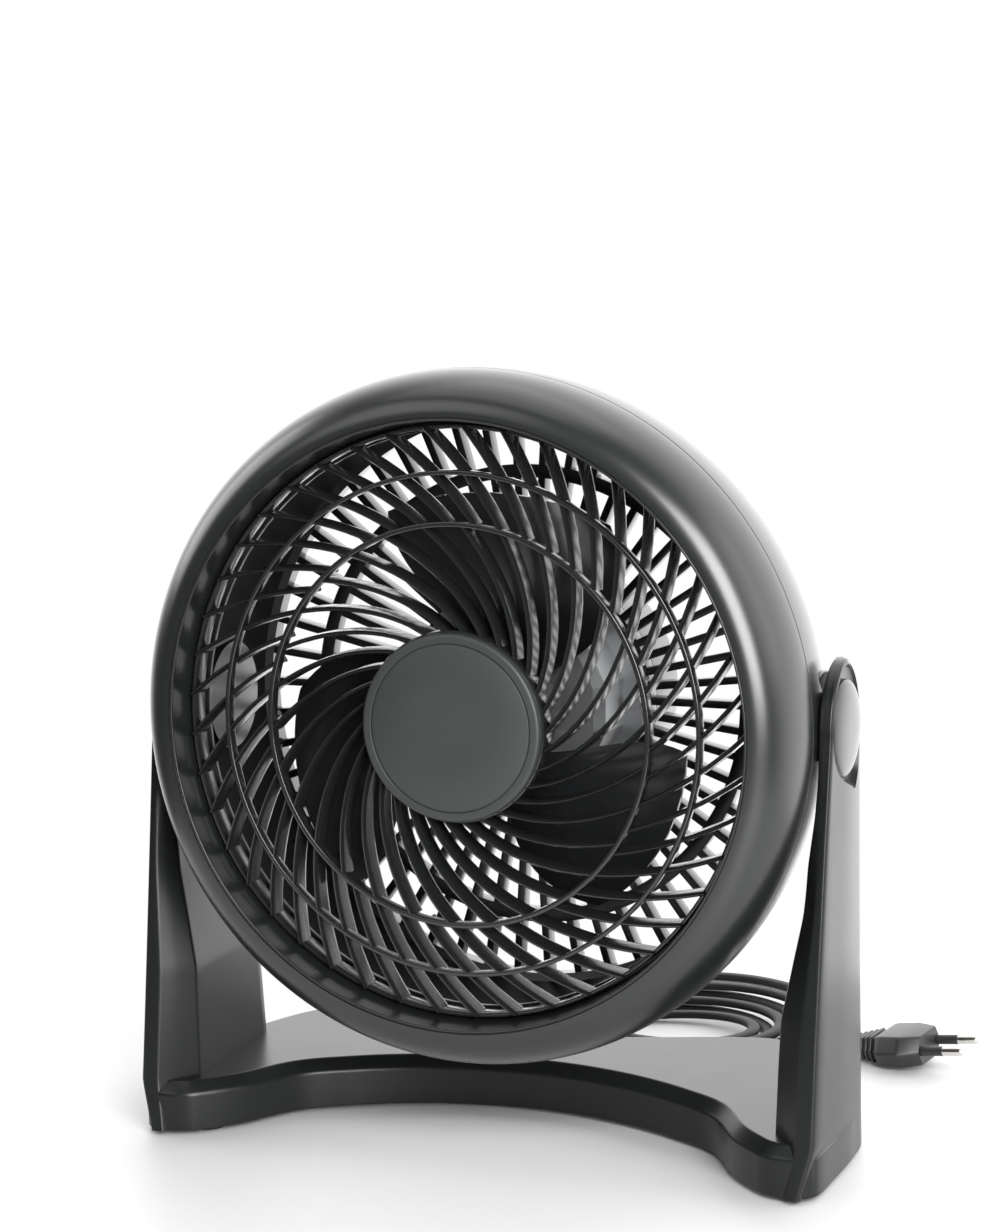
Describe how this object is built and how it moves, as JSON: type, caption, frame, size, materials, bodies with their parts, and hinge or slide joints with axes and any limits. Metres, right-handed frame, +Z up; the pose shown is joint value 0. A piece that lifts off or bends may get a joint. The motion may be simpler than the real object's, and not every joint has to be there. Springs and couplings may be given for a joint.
{
  "type": "air circulator fan",
  "caption": "Table-top air circulator: round head with swirl grille and enclosed impeller tilting between two arms of a flat forked stand, with speed knob, mains cord and plug.",
  "frame": {"origin": "on the floor, under the middle of the fan's own box with the cord and plug left out", "axes": "+Z up, the fan blows towards -Y, +X to the viewer's right when facing the grille"},
  "size_m": [0.3082, 0.2997, 0.314],
  "materials": {
    "shell": "satin moulded charcoal plastic with a faint fine texture",
    "grille": "smooth glossy black plastic",
    "blade": "semi-gloss dark grey plastic",
    "rubber": "matt black rubber",
    "cord": "soft matt black cable plastic",
    "pins": "polished nickel",
    "steel": "zinc-plated steel",
    "core": "stacked steel laminations",
    "copper": "enamelled copper wire",
    "alloy": "die-cast alloy"
  },
  "bodies": {
    "base": {"stand": "shell", "stand_bottom": "shell", "pivot_cap_r": "shell", "pivot_cap_l": "shell", "foot_1": "rubber", "foot_2": "rubber", "foot_3": "rubber", "foot_4": "rubber", "pivot_washer_r": "rubber", "pivot_washer_l": "rubber", "cord_gland": "cord", "cord_lead": "cord", "cord_coil": "cord", "cord_tail": "cord", "plug_body": "cord", "plug_pin_r": "pins", "plug_pin_l": "pins", "base_screw_1": "steel", "base_screw_2": "steel", "base_screw_3": "steel", "base_screw_4": "steel"},
    "head": {"front_bezel": "shell", "front_grille": "grille", "hub_cap": "shell", "rear_housing": "shell", "winding_front": "copper", "winding_rear": "copper", "stator_core": "core", "motor_bracket_front": "alloy", "motor_bracket_rear": "alloy", "bearing_front": "steel", "bearing_rear": "steel", "motor_cover": "shell", "speed_switch": "grille", "capacitor": "grille", "motor_screw_1": "steel", "motor_screw_2": "steel", "pivot_bolt_r": "steel", "pivot_bolt_l": "steel"},
    "fan": {"impeller": "blade", "impeller_nut": "blade", "motor_shaft": "steel", "rotor": "core"},
    "knob": {"speed_knob": "shell"}
  },
  "joints": [
    {"name": "head_tilt", "type": "hinge", "parent": "base", "child": "head", "pos_m": [0, -0.01918, 0.17603], "axis": [-1, 0, 0], "range_deg": [-12, 78]},
    {"name": "fan_spin", "type": "hinge", "parent": "head", "child": "fan", "pos_m": [0, -0.01918, 0.17603], "axis": [0, -0.9994, 0.0349], "continuous": true},
    {"name": "speed_turn", "type": "hinge", "parent": "head", "child": "knob", "pos_m": [0, 0.06577, 0.17307], "axis": [0, -0.9994, 0.0349], "range_deg": [0, 120]}
  ]
}
